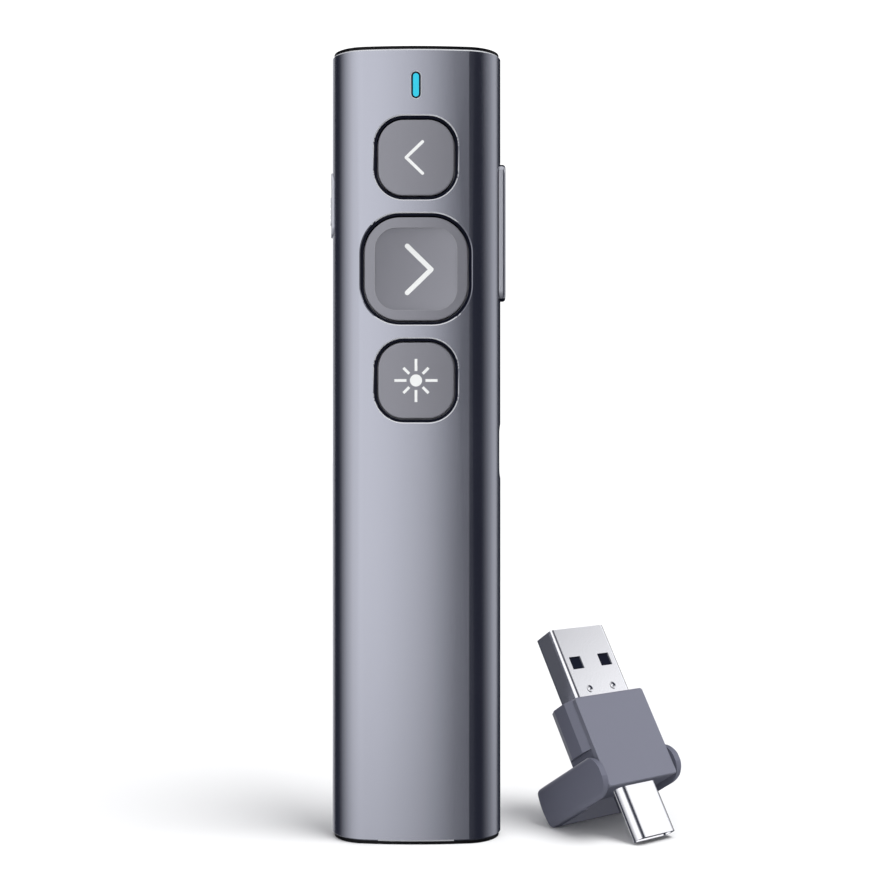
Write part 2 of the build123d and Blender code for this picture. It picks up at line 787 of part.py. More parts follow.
# ---- receiver, built upright in its own frame ----
def receiver_parts():
    """Every piece of the receiver but the guard, in the receiver's own frame."""
    inner_front = cover_front + cover_thickness
    top = housing_length
    usb_a_low = top - usb_a_in
    usb_a_high = top + usb_a_out

    cover_sketch = Pos(0, housing_length / 2) * RectangleRounded(cover_width, housing_length, cover_corner)
    cover = on_front(cover_sketch, 0, inner_front, cover_front)
    front_rim = cover.edges().filter_by_position(Axis.Y, cover_front - snug, cover_front + snug)
    cover = chamfer(front_rim, slot_chamfer)

    half_cover = cover_width / 2
    half_rear = housing_rear_half
    panel_front = inner_front + housing_front_bevel
    panel_back = housing_back - housing_rear_bevel
    outline = make_face(Polyline(
        (-half_cover, inner_front), (half_cover, inner_front), (housing_bulge, panel_front),
        (housing_bulge, panel_back), (half_rear, housing_back), (-half_rear, housing_back),
        (-housing_bulge, panel_back), (-housing_bulge, panel_front), close=True,
    ))
    housing = extrude(outline, amount=housing_length)
    upright = housing.edges().filter_by(Axis.Z)
    rear = upright.filter_by_position(Axis.Y, housing_back - snug, housing_back + snug)
    housing = fillet(rear, housing_round)
    for side in (-1, 1):
        low_x, high_x = sorted((side * waist_half, side * beyond))
        housing -= block(low_x, high_x, -beyond, beyond, -beyond, waist_height)
    pocket_half = waist_half - housing_wall
    housing -= block(
        -pocket_half, pocket_half, -beyond, housing_back - housing_wall,
        housing_wall, housing_length - housing_wall,
    )
    outer_a = RectangleRounded(usb_a_width, usb_a_thickness, usb_a_round)
    inner_a = RectangleRounded(
        usb_a_width - 2 * usb_a_wall, usb_a_thickness - 2 * usb_a_wall, usb_a_round - usb_a_wall
    )
    bar_a = extrude(Pos(0, 0, usb_a_low) * outer_a, amount=usb_a_in + usb_a_out)
    hollow_a = extrude(Pos(0, 0, usb_a_low) * inner_a, amount=usb_a_in + usb_a_out)
    housing -= bar_a
    plug = Pos(0, usb_c_y) * pill(usb_c_thickness, usb_c_width, lying=True)
    housing -= extrude(Pos(0, 0, -beyond) * plug, amount=beyond + usb_c_in)

    shell_a = bar_a - hollow_a
    inner_x = usb_a_width / 2 - usb_a_wall
    inner_y = usb_a_thickness / 2 - usb_a_wall
    window_z = usb_a_high - usb_a_window_below_tip
    dent_radius, dent_depth = usb_a_dent
    dent_y = dent_depth - usb_a_thickness / 2 - dent_radius
    for side in (-1, 1):
        x = side * usb_a_window_pitch / 2
        shell_a -= block(
            x - usb_a_window[0] / 2, x + usb_a_window[0] / 2, -beyond, beyond,
            window_z - usb_a_window[1] / 2, window_z + usb_a_window[1] / 2,
        )
        shell_a -= Pos(side * usb_a_dent_pitch / 2, dent_y, top + usb_a_dent_rise) * Sphere(dent_radius)
    tongue_back = usb_a_tongue - inner_y
    tongue = block(-inner_x, inner_x, -inner_y, tongue_back, usb_a_low, usb_a_high - usb_a_wall)
    tongue += block(-inner_x, inner_x, -inner_y, inner_y, usb_a_low, top)
    tongue &= hollow_a
    contact_width, contact_thick, contact_long = usb_a_contact
    contacts = []
    for step in range(usb_a_contact_count):
        x = (step - (usb_a_contact_count - 1) / 2) * usb_a_contact_pitch
        contacts.append(block(
            x - contact_width / 2, x + contact_width / 2, tongue_back, tongue_back + contact_thick,
            usb_a_high - 2 * usb_a_wall - contact_long, usb_a_high - 2 * usb_a_wall,
        ))

    core_thickness = usb_c_thickness - 2 * usb_c_wall
    plug_core = Pos(0, usb_c_y) * pill(core_thickness, usb_c_width - 2 * usb_c_wall, lying=True)
    plug_bar = extrude(Pos(0, 0, -usb_c_out) * plug, amount=usb_c_out + usb_c_in)
    core_bar = extrude(Pos(0, 0, -usb_c_out) * plug_core, amount=usb_c_out + usb_c_in)
    slot_width, slot_thick, slot_deep = usb_c_slot
    slot = block(
        -slot_width / 2, slot_width / 2, usb_c_y - slot_thick / 2, usb_c_y + slot_thick / 2,
        -usb_c_out - slot_deep, -usb_c_out + slot_deep,
    )
    low_trim = block(-beyond, beyond, -beyond, beyond, -usb_c_out - usb_c_wall, -usb_c_out + usb_c_wall)

    board_half = receiver_board_width / 2
    rx_board_front = usb_c_y + usb_c_thickness / 2
    rx_board_back = rx_board_front + receiver_board_thickness
    chip_x, chip_y, chip_z = receiver_chip
    chip_mid = (housing_wall + usb_a_low) / 2

    pins = []
    for side in (-1, 1):
        low_x, high_x = sorted((side * guard_pin_inner, side * guard_pin_outer))
        across = Pos((low_x + high_x) / 2, 0, guard_z) * Rot(0, 90, 0)
        pin = across * Cylinder(guard_pin_radius, high_x - low_x)
        pins.append(pin)
        housing -= pin

    return {
        "receiver_cover": cover,
        "receiver_housing": housing,
        "usb_a_shell": shell_a,
        "usb_a_tongue": tongue,
        "usb_a_contacts": Compound(children=contacts),
        "usb_c_shell": plug_bar - core_bar,
        "usb_c_core": core_bar - slot - low_trim,
        "receiver_board": block(
            -board_half, board_half, rx_board_front, rx_board_back, housing_wall, usb_a_low
        ),
        "receiver_chip": block(
            -chip_x / 2, chip_x / 2, rx_board_back, rx_board_back + chip_y,
            chip_mid - chip_z / 2, chip_mid + chip_z / 2,
        ),
        "guard_pins": Compound(children=pins),
    }


def flip_guard():
    """Swinging cover of the smaller plug: two eared arms, an arched roof and an end wall."""
    low = guard_z - guard_half
    high = guard_z + guard_half
    section = make_face(Curve() + [
        Line((-guard_side, low), (guard_side, low)),
        ThreePointArc((guard_side, low), (guard_bulge, guard_z), (guard_side, high)),
        Line((guard_side, high), (-guard_side, high)),
        ThreePointArc((-guard_side, high), (-guard_bulge, guard_z), (-guard_side, low)),
    ])
    section = fillet(section.vertices(), guard_corner)
    body = on_front(section, 0, guard_reach, -guard_front)
    end_rim = body.edges().filter_by_position(Axis.Y, guard_reach - snug, guard_reach + snug)
    body = fillet(end_rim, guard_round)
    ear = guard_half - snug
    front_cut = block(-beyond, beyond, -beyond, ear - guard_front, -beyond, beyond)
    front_cut -= Pos(0, ear - guard_front, guard_z) * Rot(0, 90, 0) * Cylinder(guard_half, 4 * beyond)
    body -= front_cut
    pocket_high = high - guard_roof
    tall = guard_half * 4
    arch = Pos(0, pocket_high - tall / 2) * RectangleRounded(2 * guard_pocket_half, tall, guard_pocket_round)
    body -= on_front(arch, 0, guard_reach - guard_web, -beyond)
    body -= block(-guard_inner, guard_inner, -beyond, guard_roof_start, -beyond, beyond)
    for side in (-1, 1):
        low_x, high_x = sorted((0, side * (guard_pin_outer + guard_pin_end_gap)))
        hole = Pos((low_x + high_x) / 2, 0, guard_z) * Rot(0, 90, 0)
        body -= hole * Cylinder(guard_pin_radius + running, high_x - low_x)
    return body


def receiver_place():
    """Where the receiver stands: it leans back on its smaller plug's tip and on the guard's end."""
    tip_back = usb_c_y + usb_c_thickness / 2
    across = guard_reach - guard_round - tip_back
    drop = (guard_half - guard_z) - guard_round - usb_c_out
    lean = degrees(asin(-guard_round / hypot(across, drop)) - atan2(drop, across))
    height = tip_back * sin(radians(lean)) + usb_c_out * cos(radians(lean))
    return Pos(receiver_x, receiver_y, height) * Rot(0, 0, receiver_heading) * Rot(-lean, 0, 0)


# ---- every piece by its node's name ----
pieces = {
    "tube_shell": tube_shell(),
    "front_cap": front_cap(),
    "laser_window": laser_window(),
    "tail_cap": tail_cap(),
    "receiver_bay": receiver_bay(),
    "bay_magnet": bay_magnet(),
    "keypad_frame": keypad_frame(),
    **keypad(),
    "button_switches": button_switches(),
    "prev_stem": stem(prev_z),
    "next_stem": stem(next_z),
    "laser_stem": stem(laser_z),
    "led_bezel": led_bezel(),
    "led_lens": led_lens(),
    "led_chip": led_chip(),
    "main_board": main_board(),
    "board_screws": board_screws(),
    "radio_chip": board_chip(radio_chip_size, radio_chip_z),
    "charge_chip": board_chip(charge_chip_size, charge_chip_z),
    "side_switches": side_switches(),
    "chassis": chassis(),
    "battery": battery(),
    "battery_pad": battery_pad(),
    **laser_module(),
    "volume_key": volume_key(),
    "volume_pin": volume_pin(),
    "power_bezel": power_bezel(),
    "power_knob": power_knob(),
    "power_switch": power_switch(),
    **port(),
}
place = receiver_place()
for name, piece in receiver_parts().items():
    pieces[name] = place * piece
pieces["flip_guard"] = place * flip_guard()

os.makedirs("parts", exist_ok=True)
for name, piece in pieces.items():
    export_step(piece, f"parts/{name}.step")
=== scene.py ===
import logging
import math
from dataclasses import dataclass
from enum import Enum

import bpy
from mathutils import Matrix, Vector
from mathutils.kdtree import KDTree


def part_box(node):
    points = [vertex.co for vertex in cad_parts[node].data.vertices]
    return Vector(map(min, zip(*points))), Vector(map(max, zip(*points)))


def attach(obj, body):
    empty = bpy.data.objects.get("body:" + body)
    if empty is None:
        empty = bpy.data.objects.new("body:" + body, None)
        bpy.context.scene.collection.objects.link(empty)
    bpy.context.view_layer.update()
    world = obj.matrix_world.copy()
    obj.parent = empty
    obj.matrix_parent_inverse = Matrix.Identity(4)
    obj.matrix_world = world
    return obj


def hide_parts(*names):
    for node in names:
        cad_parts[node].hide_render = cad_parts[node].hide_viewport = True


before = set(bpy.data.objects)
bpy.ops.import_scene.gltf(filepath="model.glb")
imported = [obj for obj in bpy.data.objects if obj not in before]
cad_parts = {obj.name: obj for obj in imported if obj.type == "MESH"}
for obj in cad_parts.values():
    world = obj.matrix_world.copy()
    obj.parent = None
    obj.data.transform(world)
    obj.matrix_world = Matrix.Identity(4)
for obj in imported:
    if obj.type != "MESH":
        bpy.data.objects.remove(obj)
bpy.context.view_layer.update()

LOG = logging.getLogger("clicker")

MM = 0.001
MERGE_REACH = 0.001 * MM        # corners nearer to each other than this are one
HALF_TURN = 180.0               # degrees
WHITE = (1.0, 1.0, 1.0, 1.0)

Colour = tuple[float, float, float]


def rise_of(angle: float) -> float:
    """Gives the z of a direction that rises by an angle in degrees."""
    return math.sin(math.radians(angle))


# ---------------------------------------------------------------- shader groups
PLAIN_GREY = (0.5, 0.5, 0.5, 1.0)
RUBBED_GREY = (0.7, 0.7, 0.7, 1.0)
TONE_MIDDLE = 1.0               # a tone drifts round this share of its brightness
NOISE_MIDDLE = 0.5              # the noise swings round this value
DRIFT_DETAIL = 4.0
GRAIN_DETAIL = 2.0
WEAR_SAMPLES = 4
UNWORN = 1.0                    # how alike an edge's soft and sharp directions are where nothing rubs it
WORN_THROUGH = 0.9              # and where it is rubbed most
MIX_FIRST, MIX_SECOND = 6, 7    # the Mix node's two colour inputs
MIX_RESULT = 2                  # its colour output


class GroupMaker:
    """Wires one shader node group: named sockets, nodes and links."""

    def __init__(self, name: str) -> None:
        """Starts an empty group.

        Args:
            name: the group's name.
        """
        self.tree = bpy.data.node_groups.new(name, "ShaderNodeTree")
        self.ins = self.tree.nodes.new("NodeGroupInput")
        self.outs = self.tree.nodes.new("NodeGroupOutput")

    def socket(self, name: str, kind: str, inward: bool, default: object = None) -> None:
        """Adds one socket to the group's face.

        Args:
            name: the socket's name.
            kind: "Float", "Color" or "Vector".
            inward: True for an input.
            default: the value the socket starts with.
        """
        way = "INPUT" if inward else "OUTPUT"
        made = self.tree.interface.new_socket(name=name, in_out=way, socket_type=f"NodeSocket{kind}")
        if default is not None:
            made.default_value = default

    def node(self, kind: str, **values: object) -> bpy.types.Node:
        """Adds a node and sets its properties.

        Args:
            kind: the node's type, without the ShaderNode prefix.
            values: properties of the node.

        Returns:
            The new node.
        """
        made = self.tree.nodes.new(f"ShaderNode{kind}")
        for key, value in values.items():
            setattr(made, key, value)
        return made

    def link(self, source: bpy.types.NodeSocket, target: bpy.types.NodeSocket) -> None:
        """Joins two sockets."""
        self.tree.links.new(source, target)


def make_drift_group() -> bpy.types.NodeTree:
    """A slow change of tone and gloss over a surface.

    Returns:
        The group, with Color and Roughness outputs.
    """
    maker = GroupMaker("tone drift")
    maker.socket("Color", "Color", True, PLAIN_GREY)
    maker.socket("Spread", "Float", True, 0.05)
    maker.socket("Roughness", "Float", True, 0.5)
    maker.socket("Gloss Spread", "Float", True, 0.05)
    maker.socket("Scale", "Float", True, 60.0)
    maker.socket("Color", "Color", False)
    maker.socket("Roughness", "Float", False)
    place = maker.node("TexCoord")
    noise = maker.node("TexNoise")
    noise.inputs["Detail"].default_value = DRIFT_DETAIL
    tone = maker.node("MapRange")
    low = maker.node("Math", operation="SUBTRACT")
    high = maker.node("Math", operation="ADD")
    for limit in (low, high):
        limit.inputs[0].default_value = TONE_MIDDLE
        maker.link(maker.ins.outputs["Spread"], limit.inputs[1])
    hue = maker.node("HueSaturation")
    gloss = maker.node("Math", operation="MULTIPLY_ADD")
    centre = maker.node("Math", operation="SUBTRACT")
    centre.inputs[1].default_value = NOISE_MIDDLE
    maker.link(place.outputs["Object"], noise.inputs["Vector"])
    maker.link(maker.ins.outputs["Scale"], noise.inputs["Scale"])
    maker.link(noise.outputs["Fac"], tone.inputs["Value"])
    maker.link(low.outputs[0], tone.inputs["To Min"])
    maker.link(high.outputs[0], tone.inputs["To Max"])
    maker.link(maker.ins.outputs["Color"], hue.inputs["Color"])
    maker.link(tone.outputs["Result"], hue.inputs["Value"])
    maker.link(noise.outputs["Fac"], centre.inputs[0])
    maker.link(centre.outputs[0], gloss.inputs[0])
    maker.link(maker.ins.outputs["Gloss Spread"], gloss.inputs[1])
    maker.link(maker.ins.outputs["Roughness"], gloss.inputs[2])
    maker.link(hue.outputs["Color"], maker.outs.inputs["Color"])
    maker.link(gloss.outputs[0], maker.outs.inputs["Roughness"])
    return maker.tree


def make_grain_group() -> bpy.types.NodeTree:
    """A fine blasted or moulded grain, as a height.

    Returns:
        The group, with a Height output.
    """
    maker = GroupMaker("fine grain")
    maker.socket("Scale", "Float", True, 4000.0)
    maker.socket("Stretch", "Vector", True, (1.0, 1.0, 1.0))
    maker.socket("Height", "Float", False)
    place = maker.node("TexCoord")
    stretch = maker.node("VectorMath", operation="MULTIPLY")
    noise = maker.node("TexNoise")
    noise.inputs["Detail"].default_value = GRAIN_DETAIL
    cells = maker.node("TexVoronoi")
    both = maker.node("Math", operation="ADD")
    maker.link(place.outputs["Object"], stretch.inputs[0])
    maker.link(maker.ins.outputs["Stretch"], stretch.inputs[1])
    for pattern in (noise, cells):
        maker.link(stretch.outputs["Vector"], pattern.inputs["Vector"])
        maker.link(maker.ins.outputs["Scale"], pattern.inputs["Scale"])
    maker.link(noise.outputs["Fac"], both.inputs[0])
    maker.link(cells.outputs["Distance"], both.inputs[1])
    maker.link(both.outputs[0], maker.outs.inputs["Height"])
    return maker.tree


def make_wear_group() -> bpy.types.NodeTree:
    """A paler tone along a surface's edges, where hands rub it.

    Returns:
        The group, with a Color output.
    """
    maker = GroupMaker("edge wear")
    maker.socket("Color", "Color", True, PLAIN_GREY)
    maker.socket("Worn Color", "Color", True, RUBBED_GREY)
    maker.socket("Amount", "Float", True, 0.5)
    maker.socket("Reach", "Float", True, 0.0002)
    maker.socket("Color", "Color", False)
    soft = maker.node("Bevel", samples=WEAR_SAMPLES)
    sharp = maker.node("NewGeometry")
    dot = maker.node("VectorMath", operation="DOT_PRODUCT")
    ramp = maker.node("MapRange")
    ramp.inputs["From Min"].default_value = UNWORN
    ramp.inputs["From Max"].default_value = WORN_THROUGH
    amount = maker.node("Math", operation="MULTIPLY")
    mix = maker.node("Mix", data_type="RGBA")
    maker.link(maker.ins.outputs["Reach"], soft.inputs["Radius"])
    maker.link(soft.outputs["Normal"], dot.inputs[0])
    maker.link(sharp.outputs["Normal"], dot.inputs[1])
    maker.link(dot.outputs["Value"], ramp.inputs["Value"])
    maker.link(ramp.outputs["Result"], amount.inputs[0])
    maker.link(maker.ins.outputs["Amount"], amount.inputs[1])
    maker.link(amount.outputs[0], mix.inputs["Factor"])
    maker.link(maker.ins.outputs["Color"], mix.inputs[MIX_FIRST])
    maker.link(maker.ins.outputs["Worn Color"], mix.inputs[MIX_SECOND])
    maker.link(mix.outputs[MIX_RESULT], maker.outs.inputs["Color"])
    return maker.tree


DRIFT = make_drift_group()
GRAIN = make_grain_group()
WEAR = make_wear_group()


# ---------------------------------------------------------------- finishes
@dataclass(frozen=True)
class Finish:
    """How one surface of the clicker looks.

    Args:
        name: the material's name.
        colour: base colour, linear.
        roughness: how matt the surface is.
        metallic: 1 for bare metal.
        spread: how much the tone drifts.
        gloss_spread: how much the gloss drifts.
        drift_scale: how quickly it drifts, per metre.
        grain_scale: size of the grain, per metre.
        grain_height: depth of the grain, in metres.
        stretch: the grain's stretch along x, y and z.
        worn: tone of the rubbed edges, or None.
        wear: how much of that tone shows.
        wear_reach: how far the rubbing reaches from an edge, in metres.
        coat: clear coat over the surface.
        glow: strength of the light it gives off.
        glass: transmission of a clear piece.
        ior: index of refraction.
        specular: strength of the sheen on a piece that isn't metal.
    """

    name: str
    colour: Colour
    roughness: float
    metallic: float = 0.0
    spread: float = 0.05
    gloss_spread: float = 0.06
    drift_scale: float = 90.0
    grain_scale: float = 5000.0
    grain_height: float = 0.000006
    stretch: tuple[float, float, float] = (1.0, 1.0, 1.0)
    worn: Colour | None = None
    wear: float = 0.4
    wear_reach: float = 0.00015
    coat: float = 0.0
    glow: float = 0.0
    glass: float = 0.0
    ior: float = 1.5
    specular: float = 0.5

    def material(self) -> bpy.types.Material:
        """Builds the node material of this finish.

        Returns:
            The material, made once and used again.
        """
        found = bpy.data.materials.get(self.name)
        if found is not None:
            return found
        made = bpy.data.materials.new(self.name)
        made.use_nodes = True
        tree = made.node_tree
        surface = tree.nodes["Principled BSDF"]
        surface.inputs["Metallic"].default_value = self.metallic
        surface.inputs["IOR"].default_value = self.ior
        surface.inputs["Specular IOR Level"].default_value = self.specular
        surface.inputs["Transmission Weight"].default_value = self.glass
        surface.inputs["Coat Weight"].default_value = self.coat
        drift = self._group(tree, DRIFT)
        drift.inputs["Color"].default_value = (*self.colour, 1.0)
        drift.inputs["Spread"].default_value = self.spread
        drift.inputs["Roughness"].default_value = self.roughness
        drift.inputs["Gloss Spread"].default_value = self.gloss_spread
        drift.inputs["Scale"].default_value = self.drift_scale
        tone = drift.outputs["Color"]
        if self.worn is not None:
            wear = self._group(tree, WEAR)
            wear.inputs["Worn Color"].default_value = (*self.worn, 1.0)
            wear.inputs["Amount"].default_value = self.wear
            wear.inputs["Reach"].default_value = self.wear_reach
            tree.links.new(tone, wear.inputs["Color"])
            tone = wear.outputs["Color"]
        tree.links.new(tone, surface.inputs["Base Color"])
        tree.links.new(drift.outputs["Roughness"], surface.inputs["Roughness"])
        if self.glow:
            tree.links.new(tone, surface.inputs["Emission Color"])
            surface.inputs["Emission Strength"].default_value = self.glow
        grain = self._group(tree, GRAIN)
        grain.inputs["Scale"].default_value = self.grain_scale
        grain.inputs["Stretch"].default_value = self.stretch
        bump = tree.nodes.new("ShaderNodeBump")
        bump.inputs["Distance"].default_value = self.grain_height
        tree.links.new(grain.outputs["Height"], bump.inputs["Height"])
        tree.links.new(bump.outputs["Normal"], surface.inputs["Normal"])
        return made

    @staticmethod
    def _group(tree: bpy.types.NodeTree, group: bpy.types.NodeTree) -> bpy.types.Node:
        """Places a shared group in a material.

        Args:
            tree: the material's node tree.
            group: the group.

        Returns:
            The node that holds the group.
        """
        node = tree.nodes.new("ShaderNodeGroup")
        node.node_tree = group
        return node


class Skin(Enum):
    """Every finish on the clicker, on its receiver and under them."""

    ALUMINIUM = Finish("satin grey aluminium", (0.42, 0.43, 0.49), 0.22, metallic=1.0, spread=0.02,
                       gloss_spread=0.05, grain_scale=9000.0, grain_height=0.000004)
    # cut edges: real chamfers, given a paler, part-diffuse finish as a painted highlight, a light line all
    # round
    PAINTED_HIGHLIGHT_CUT = Finish("cut edge with painted highlight", (0.66, 0.67, 0.70), 0.4, metallic=0.4, spread=0.02,
                        gloss_spread=0.03, grain_scale=12000.0, grain_height=0.000001)
    CAP_BLACK = Finish("black end cap", (0.003, 0.003, 0.004), 0.42, specular=0.12)
    # real black mouldings; also painted shade on the side key's ends
    BLACK_PLASTIC_AND_PAINTED_SHADE = Finish("black moulding and painted shade", (0.005, 0.006, 0.014), 0.5, specular=0.06)
    KEY = Finish("soft grey key", (0.26, 0.26, 0.29), 0.38, metallic=0.6, spread=0.02,
                 grain_scale=9000.0, grain_height=0.000004, worn=(0.45, 0.45, 0.48), wear=0.5)
    SIDE_KEY = Finish("grey side key", (0.56, 0.57, 0.62), 0.3, metallic=1.0, spread=0.02,
                      worn=(0.7, 0.7, 0.74))
    LEGEND = Finish("pale legend", (0.80, 0.81, 0.80), 0.5, spread=0.02)
    LED = Finish("cyan light pipe", (0.005, 0.48, 0.64), 0.3, coat=0.2, glow=0.16, spread=0.03)
    LED_CHIP = Finish("light emitter", (0.85, 0.83, 0.68), 0.4)
    WINDOW = Finish("clear window", (0.85, 0.88, 0.90), 0.05, glass=0.9, gloss_spread=0.02)
    PLUG = Finish("bright plug steel", (0.90, 0.90, 0.93), 0.18, metallic=1.0, spread=0.02,
                  stretch=(1.0, 1.0, 0.1), grain_height=0.000002)
    GOLD = Finish("gold contacts", (0.83, 0.60, 0.22), 0.25, metallic=1.0)
    RECEIVER_FACE = Finish("receiver face", (0.195, 0.20, 0.25), 0.42, metallic=0.4, spread=0.02,
                           grain_scale=9000.0, grain_height=0.000004)
    RECEIVER_BODY = Finish("receiver body", (0.145, 0.15, 0.195), 0.4, metallic=0.3, spread=0.02,
                           grain_scale=9000.0, grain_height=0.000004)
    STEEL = Finish("plain steel", (0.56, 0.56, 0.57), 0.3, metallic=1.0, grain_height=0.000003)
    BOARD = Finish("solder mask", (0.012, 0.12, 0.05), 0.3, coat=0.4)
    CHIP = Finish("chip moulding", (0.018, 0.018, 0.02), 0.6)
    CHASSIS = Finish("chassis moulding", (0.03, 0.03, 0.034), 0.6, grain_scale=3000.0)
    FOIL = Finish("battery foil", (0.62, 0.63, 0.65), 0.35, metallic=1.0, grain_scale=1500.0,
                  grain_height=0.00002)
    FOAM = Finish("foam strip", (0.04, 0.04, 0.042), 0.95, grain_scale=2500.0, grain_height=0.00003)
    BRASS = Finish("turned brass", (0.70, 0.52, 0.24), 0.25, metallic=1.0, stretch=(1.0, 1.0, 8.0))
    MAGNET = Finish("plated magnet", (0.70, 0.70, 0.72), 0.18, metallic=1.0)
    FLOOR = Finish("pale table", (0.82, 0.82, 0.82), 0.6, spread=0.003, gloss_spread=0.01,
                   grain_height=0.0, specular=0.1)


# ---------------------------------------------------------------- dressing and copying nodes
def dress(skin: Skin, *names: str) -> None:
    """Gives CAD nodes that stay a finish.

    Args:
        skin: the finish.
        names: the nodes.
    """
    for name in names:
        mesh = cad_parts[name].data
        mesh.materials.clear()
        mesh.materials.append(skin.value.material())
        LOG.info("dressed %s in %s", name, skin.value.name)


def pick(piece: bpy.types.Object) -> None:
    """Selects one piece and nothing else.

    Args:
        piece: the piece, which becomes the active one too.
    """
    bpy.ops.object.select_all(action="DESELECT")
    piece.select_set(True)
    bpy.context.view_layer.objects.active = piece


def copy_node(node: str, name: str) -> bpy.types.Object:
    """Copies a node as a piece of its own, with its doubles merged.

    Args:
        node: the node's name.
        name: the new piece's name.

    Returns:
        The piece, with no materials yet.
    """
    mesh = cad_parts[node].data.copy()
    mesh.name = name
    mesh.materials.clear()
    piece = bpy.data.objects.new(name, mesh)
    bpy.context.scene.collection.objects.link(piece)
    pick(piece)
    bpy.ops.object.mode_set(mode="EDIT")
    bpy.ops.mesh.select_all(action="SELECT")
    bpy.ops.mesh.remove_doubles(threshold=MERGE_REACH)
    bpy.ops.object.mode_set(mode="OBJECT")
    return piece


def keep_directions(piece: bpy.types.Object, node: str) -> None:
    """Smooths a merged copy with the exact surface directions of its node, corner by corner.

    Args:
        piece: the copy, with the same faces as the node.
        node: the node that it was made from.
    """
    source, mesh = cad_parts[node].data, piece.data
    tree = KDTree(len(source.polygons))
    for face in source.polygons:
        tree.insert(face.center, face.index)
    tree.balance()
    directions = []
    for face in mesh.polygons:
        twin = source.polygons[tree.find(face.center)[1]]
        for corner in face.loop_indices:
            place = mesh.vertices[mesh.loops[corner].vertex_index].co
            near = min(twin.loop_indices,
                       key=lambda loop: (source.vertices[source.loops[loop].vertex_index].co - place).length)
            directions.append(source.corner_normals[near].vector.copy())
    mesh.polygons.foreach_set("use_smooth", [True] * len(mesh.polygons))
    mesh.normals_split_custom_set(directions)


def smooth(piece: bpy.types.Object, angle: float) -> None:
    """Smooths a piece, but for its sharp edges.

    Args:
        piece: the piece.
        angle: edges over this angle stay sharp, in degrees.
    """
    pick(piece)
    if piece.data.has_custom_normals:
        bpy.ops.mesh.customdata_custom_splitnormals_clear()
    bpy.ops.object.shade_smooth_by_angle(angle=math.radians(angle))


# ---------------------------------------------------------------- clicker, outside
@dataclass
class Sleeve:
    """The satin sleeve with its cut edges, whose pale finish is a painted highlight, its black caps and the
    window.
    """

    skin_depth: float = 0.45 * MM       # the cuts lie this near the sleeve's front
    cut_reach: float = 9.3 * MM         # how far they lie from the middle line
    end_reach: float = 0.35 * MM        # the laser end's cut lies this near the sleeve's end
    steepest: float = 0.30              # a cut faces the front, or the laser end, by more than this share
    flattest: float = 0.93              # and by less than this one

    def build(self) -> None:
        """Builds the sleeve and dresses what closes it."""
        piece = copy_node("tube_shell", "sleeve")
        piece.data.materials.append(Skin.ALUMINIUM.value.material())
        # slot 1: the cut edges, paler and part diffuse, a painted highlight that reads as a light line all
        # round
        piece.data.materials.append(Skin.PAINTED_HIGHLIGHT_CUT.value.material())
        low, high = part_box("tube_shell")
        cuts = 0
        for face in piece.data.polygons:
            face.material_index = int(self._is_cut(face, low, high))
            cuts += face.material_index
        keep_directions(piece, "tube_shell")
        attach(piece, "clicker")
        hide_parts("tube_shell")
        LOG.info("sleeve: %d bright faces", cuts)
        dress(Skin.CAP_BLACK, "front_cap", "tail_cap")
        dress(Skin.WINDOW, "laser_window")

    def _is_cut(self, face: bpy.types.MeshPolygon, low: Vector, high: Vector) -> bool:
        """Says whether a face belongs to a cut edge, which carries the painted highlight.

        Args:
            face: the face.
            low: the sleeve's lowest corner.
            high: its highest corner.

        Returns:
            True for a cut round an opening of the front or round the laser end.
        """
        place, way = face.center, face.normal
        if place.z > high[2] - self.end_reach:
            return self.steepest < way.z < self.flattest
        on_skin = place.y < low[1] + self.skin_depth and abs(place.x) < self.cut_reach
        return on_skin and self.steepest < -way.y < self.flattest


@dataclass
class Keypad:
    """The black frame with its three buttons, their legends and stems, and the status light."""

    def build(self) -> None:
        """Dresses the keypad's nodes."""
        dress(Skin.BLACK_PLASTIC_AND_PAINTED_SHADE, "keypad_frame", "prev_stem", "next_stem", "laser_stem", "led_bezel")
        dress(Skin.KEY, "prev_button", "next_button", "laser_button")
        dress(Skin.LEGEND, "prev_legend", "next_legend", "laser_legend")
        dress(Skin.LED, "led_lens")
        dress(Skin.LED_CHIP, "led_chip")


@dataclass
class VolumeRocker:
    """The side key, with painted shade at each of its ends: dark bands that stand for the shadow lines
    there.
    """

    flange_margin: float = 0.9 * MM     # the flange reaches past the bar by this much
    flange_face: float = 11.0 * MM      # only what lies further out than this shows
    painted_shade_band: float = 0.5 * MM              # height of the dark bands of painted shade
    sharp: float = 30.0                 # edges over this angle stay sharp, in degrees

    def build(self) -> None:
        """Builds the key from its node, cut where its painted shade at the ends begins."""
        piece = copy_node("volume_key", "volume_rocker")
        piece.data.materials.append(Skin.SIDE_KEY.value.material())
        piece.data.materials.append(Skin.BLACK_PLASTIC_AND_PAINTED_SHADE.value.material())
        low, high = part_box("volume_key")
        bottom = low[2] + self.flange_margin + self.painted_shade_band
        top = high[2] - self.flange_margin - self.painted_shade_band
        for height in (bottom, top):
            self._cut(piece, height)
        for face in piece.data.polygons:
            # the end faces outside the flange get black: painted shade for the shadow lines at the key's
            # ends
            ends = not bottom < face.center.z < top
            face.material_index = int(ends and face.center.x > self.flange_face)
        smooth(piece, self.sharp)
        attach(piece, "volume_rocker")
        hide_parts("volume_key")

    @staticmethod
    def _cut(piece: bpy.types.Object, height: float) -> None:
        """Cuts a piece's faces at a height, without parting it.

        Args:
            piece: the piece.
            height: where the cut lies, in metres.
        """
        pick(piece)
        bpy.ops.object.mode_set(mode="EDIT")
        bpy.ops.mesh.select_all(action="SELECT")
        bpy.ops.mesh.bisect(plane_co=(0.0, 0.0, height), plane_no=(0.0, 0.0, 1.0))
        bpy.ops.object.mode_set(mode="OBJECT")


